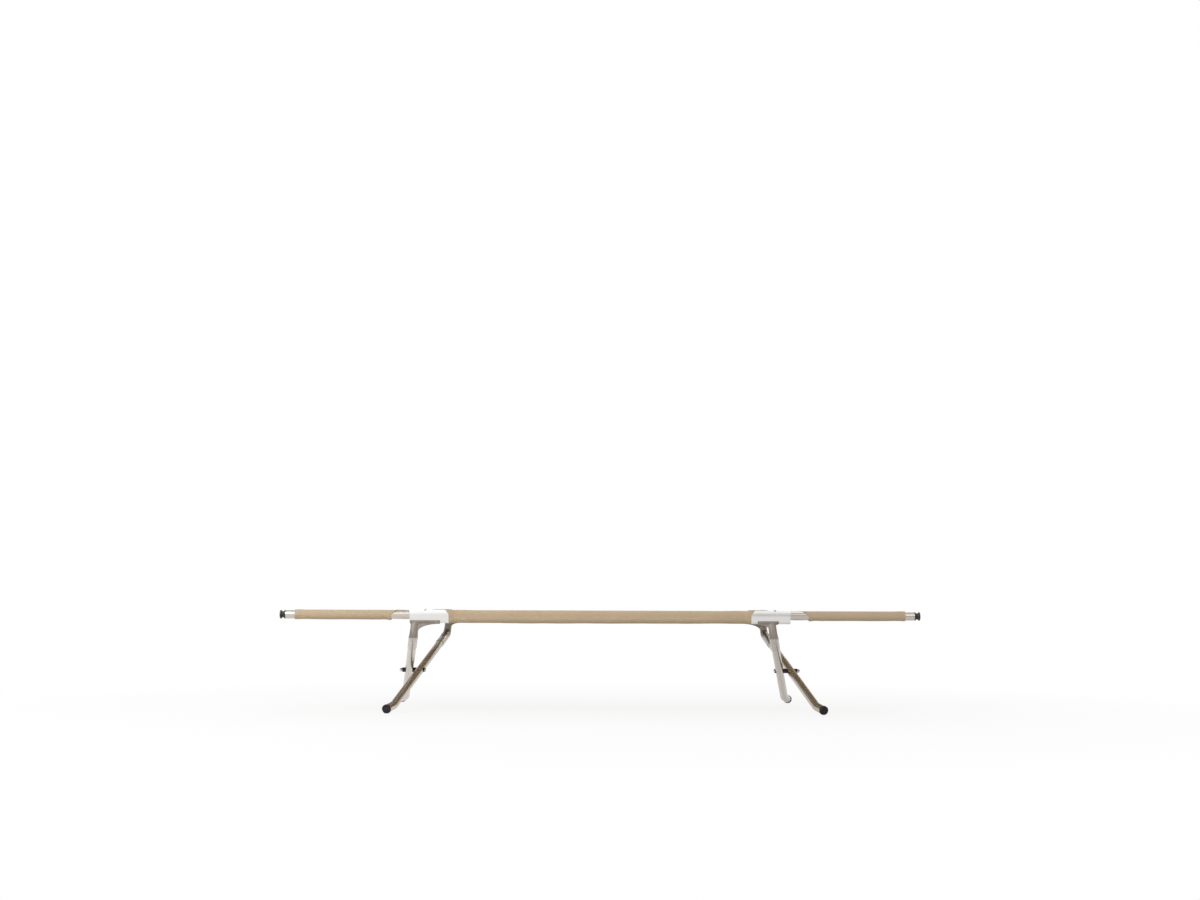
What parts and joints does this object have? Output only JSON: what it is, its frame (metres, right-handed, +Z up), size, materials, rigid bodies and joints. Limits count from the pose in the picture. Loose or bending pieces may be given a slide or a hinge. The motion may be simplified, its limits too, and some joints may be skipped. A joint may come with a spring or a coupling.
{
  "type": "folding camping cot",
  "caption": "Low folding camping cot: a taut cloth bed on two tube side frames that cross on pivot bolts like scissors, with end lengths that fold up and over on hinge pins.",
  "frame": {"origin": "on the floor, below the middle of the bed", "axes": "+X along the bed to its right end, +Y from the front rail to the back rail, +Z up"},
  "size_m": [1.9, 0.6528, 0.3078],
  "materials": {
    "tube": "satin anodised tube, warm grey",
    "bracket": "bright brushed extrusion",
    "cast": "matt tumbled casting, warm grey",
    "steel": "plain plated steel",
    "black_plastic": "fine-grained black moulding",
    "rubber": "matt black rubber",
    "cloth": "sand-coloured tight plain weave"
  },
  "bodies": {
    "front_frame": {"front_middle_rail": "tube", "front_middle_sleeve": "cloth", "front_left_bracket": "bracket", "front_left_rivet": "steel", "front_left_hinge_pin": "steel", "front_left_leg_head": "cast", "front_left_leg": "tube", "front_left_foot_cap": "rubber", "front_left_inner_washer": "black_plastic", "front_left_outer_washer": "black_plastic", "front_right_bracket": "bracket", "front_right_rivet": "steel", "front_right_hinge_pin": "steel", "front_right_leg_head": "cast", "front_right_leg": "tube", "front_right_foot_cap": "rubber", "front_right_inner_washer": "black_plastic", "front_right_outer_washer": "black_plastic", "left_pivot_bolt": "steel", "left_pivot_nut": "steel", "right_pivot_bolt": "steel", "right_pivot_nut": "steel", "bed_center": "cloth"},
    "back_frame": {"back_middle_rail": "tube", "back_middle_sleeve": "cloth", "back_left_bracket": "bracket", "back_left_rivet": "steel", "back_left_hinge_pin": "steel", "back_left_leg_head": "cast", "back_left_leg": "tube", "back_left_foot_cap": "rubber", "back_left_inner_washer": "black_plastic", "back_left_outer_washer": "black_plastic", "back_right_bracket": "bracket", "back_right_rivet": "steel", "back_right_hinge_pin": "steel", "back_right_leg_head": "cast", "back_right_leg": "tube", "back_right_foot_cap": "rubber", "back_right_inner_washer": "black_plastic", "back_right_outer_washer": "black_plastic"},
    "front_left_end": {"front_left_hinge_plug": "cast", "front_left_end_rail": "tube", "front_left_end_cap": "black_plastic", "front_left_sleeve": "cloth", "bed_left": "cloth"},
    "front_right_end": {"front_right_hinge_plug": "cast", "front_right_end_rail": "tube", "front_right_end_cap": "black_plastic", "front_right_sleeve": "cloth", "bed_right": "cloth"},
    "back_left_end": {"back_left_hinge_plug": "cast", "back_left_end_rail": "tube", "back_left_end_cap": "black_plastic", "back_left_sleeve": "cloth"},
    "back_right_end": {"back_right_hinge_plug": "cast", "back_right_end_rail": "tube", "back_right_end_cap": "black_plastic", "back_right_sleeve": "cloth"}
  },
  "joints": [
    {"name": "frame_fold", "type": "hinge", "parent": "front_frame", "child": "back_frame", "pos_m": [0, 0, 0.1173], "axis": [1, 0, 0], "range_deg": [0, 103], "deforming": ["bed_center", "bed_left", "bed_right"]},
    {"name": "front_left_fold", "type": "hinge", "parent": "front_frame", "child": "front_left_end", "pos_m": [-0.519, -0.31, 0.3046], "axis": [0, 1, 0], "range_deg": [0, 180]},
    {"name": "front_right_fold", "type": "hinge", "parent": "front_frame", "child": "front_right_end", "pos_m": [0.519, -0.31, 0.3046], "axis": [0, -1, 0], "range_deg": [0, 180]},
    {"name": "back_left_fold", "type": "hinge", "parent": "back_frame", "child": "back_left_end", "pos_m": [-0.519, 0.31, 0.3046], "axis": [0, 1, 0], "range_deg": [0, 180]},
    {"name": "back_right_fold", "type": "hinge", "parent": "back_frame", "child": "back_right_end", "pos_m": [0.519, 0.31, 0.3046], "axis": [0, -1, 0], "range_deg": [0, 180]}
  ],
  "couplings": [
    {"joint": "back_left_fold", "follows": "front_left_fold", "ratio": 1},
    {"joint": "back_right_fold", "follows": "front_right_fold", "ratio": 1}
  ]
}
